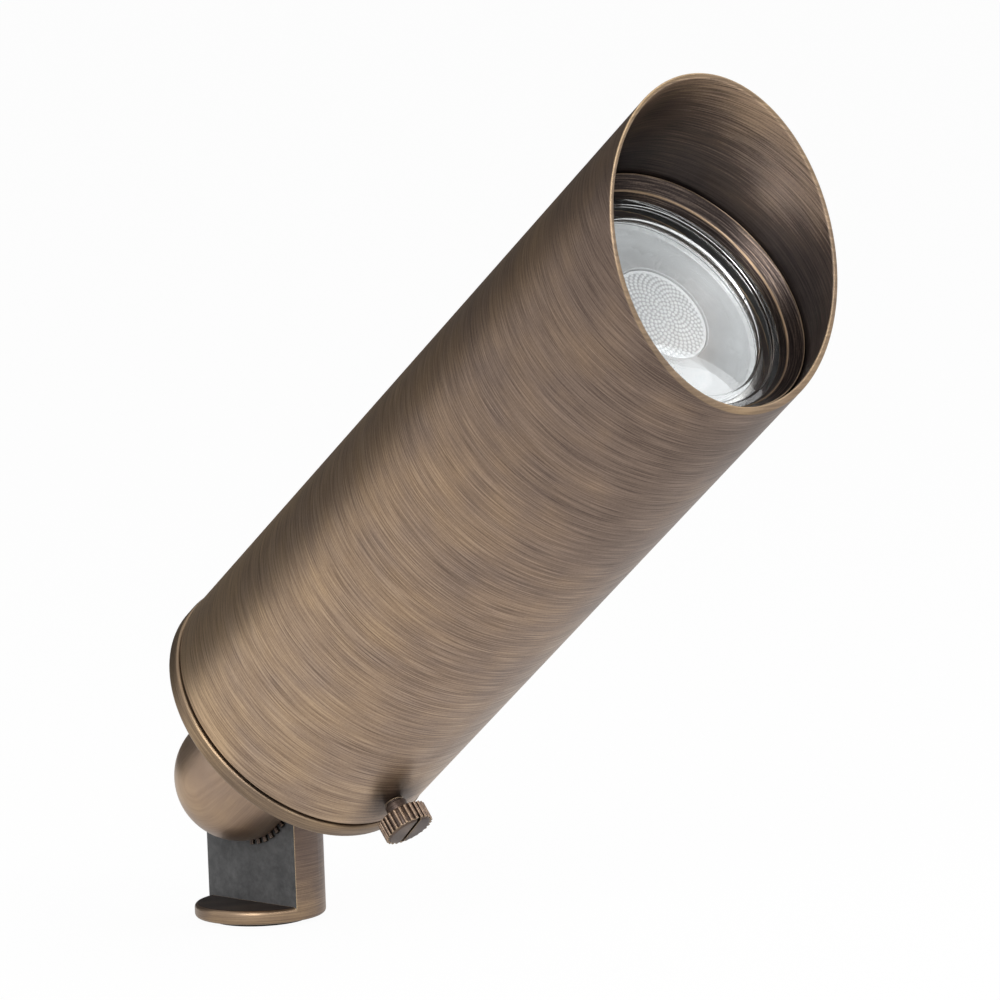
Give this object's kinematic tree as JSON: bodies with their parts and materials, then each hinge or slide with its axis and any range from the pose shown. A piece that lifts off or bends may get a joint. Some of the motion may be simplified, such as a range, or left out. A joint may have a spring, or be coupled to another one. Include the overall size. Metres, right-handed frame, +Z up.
{
  "type": "garden spotlight",
  "caption": "Tilting outdoor spotlight in aged brass: long round hood with a slanted mouth over a sealed lamp housing, on a half-lap knuckle with a threaded foot.",
  "frame": {"origin": "centre of the foot's underside, at the mouth of its threaded hole", "axes": "+Z up out of the foot, +X the way the head points, Y along the tilt hinge"},
  "size_m": [0.1764, 0.0642, 0.1899],
  "materials": {
    "aged_brass": "aged, fine circumferential brushing",
    "turned_brass": "dark aged, turned",
    "plain_brass": "plain machined",
    "stainless": "plain",
    "black_rubber": "matt",
    "lead_silicone": "smooth silicone",
    "clear_glass": "clear, stepped",
    "lamp_clear": "clear, dimpled middle",
    "lamp_silver": "bright reflector",
    "lamp_emitter": "white emitter block",
    "socket_metal": "plain sheet",
    "white_ceramic": "unglazed",
    "soft_pad": "natural"
  },
  "bodies": {
    "foot": {"knuckle_lower": "aged_brass", "foot_gasket": "black_rubber", "tooth_washer": "stainless"},
    "pivot_washer": {"pivot_washer": "stainless"},
    "pivot_bolt": {"pivot_bolt": "stainless"},
    "head": {"knuckle_upper": "aged_brass", "base_plate": "aged_brass", "knuckle_seal": "black_rubber", "nut_washer": "stainless", "knuckle_nut": "plain_brass", "wire_plug": "black_rubber", "housing": "turned_brass", "housing_seal": "black_rubber", "ring_seal": "black_rubber", "socket_ring": "stainless", "lamp_clip": "stainless", "socket_plate": "socket_metal", "lamp_socket": "white_ceramic", "socket_contacts": "plain_brass", "socket_screws": "stainless", "lead_right": "lead_silicone", "lead_left": "lead_silicone", "lamp_reflector": "lamp_silver", "lamp_cover": "lamp_clear", "lamp_optic": "lamp_clear", "lamp_chip": "lamp_emitter", "lamp_base": "white_ceramic", "lamp_pins": "stainless"},
    "lens": {"glass_lens": "clear_glass", "lens_gasket": "black_rubber"},
    "lens_ring": {"lens_ring": "turned_brass"},
    "hood_seal": {"hood_seal": "black_rubber"},
    "hood": {"hood": "aged_brass"},
    "thumbscrew_pad": {"thumbscrew_pad": "soft_pad"},
    "thumbscrew": {"thumbscrew": "aged_brass"}
  },
  "joints": [
    {"name": "head_tilt", "type": "hinge", "parent": "foot", "child": "head", "pos_m": [0, -0.0044, 0.0317], "axis": [0, -1, 0], "range_deg": [-38, 141]},
    {"name": "pivot_bolt_lift", "type": "slide", "parent": "foot", "child": "pivot_washer", "axis": [0, 1, 0], "range_m": [0, 0.001]},
    {"name": "pivot_bolt_turn", "type": "hinge", "parent": "pivot_washer", "child": "pivot_bolt", "pos_m": [0, 0.0075, 0.0317], "axis": [0, 1, 0], "range_deg": [0, 360]},
    {"name": "hood_turn", "type": "hinge", "parent": "head", "child": "hood_seal", "pos_m": [0.02587, -0.0044, 0.05235], "axis": [0.7815, 0, 0.6239], "continuous": true},
    {"name": "hood_slide", "type": "slide", "parent": "hood_seal", "child": "hood", "axis": [0.7815, 0, 0.6239], "range_m": [0, 0.15]},
    {"name": "thumbscrew_lift", "type": "slide", "parent": "hood", "child": "thumbscrew_pad", "axis": [0.6239, 0, -0.7815], "range_m": [-0.00065, 0.0028]},
    {"name": "thumbscrew_turn", "type": "hinge", "parent": "thumbscrew_pad", "child": "thumbscrew", "pos_m": [0.05122, -0.0044, 0.0278], "axis": [0.6239, 0, -0.7815], "range_deg": [-334, 1440]},
    {"name": "lens_lift", "type": "slide", "parent": "head", "child": "lens", "axis": [0.7815, 0, 0.6239], "range_m": [0, 0.006]},
    {"name": "lens_ring_turn", "type": "hinge", "parent": "lens", "child": "lens_ring", "pos_m": [0.13286, -0.0044, 0.13776], "axis": [0.7815, 0, 0.6239], "range_deg": [0, 1440]}
  ],
  "couplings": [
    {"joint": "pivot_bolt_lift", "follows": "pivot_bolt_turn", "m_per_rad": 0.00015915},
    {"joint": "thumbscrew_lift", "follows": "thumbscrew_turn", "m_per_rad": 0.00011141},
    {"joint": "lens_lift", "follows": "lens_ring_turn", "m_per_rad": 0.00023873}
  ]
}
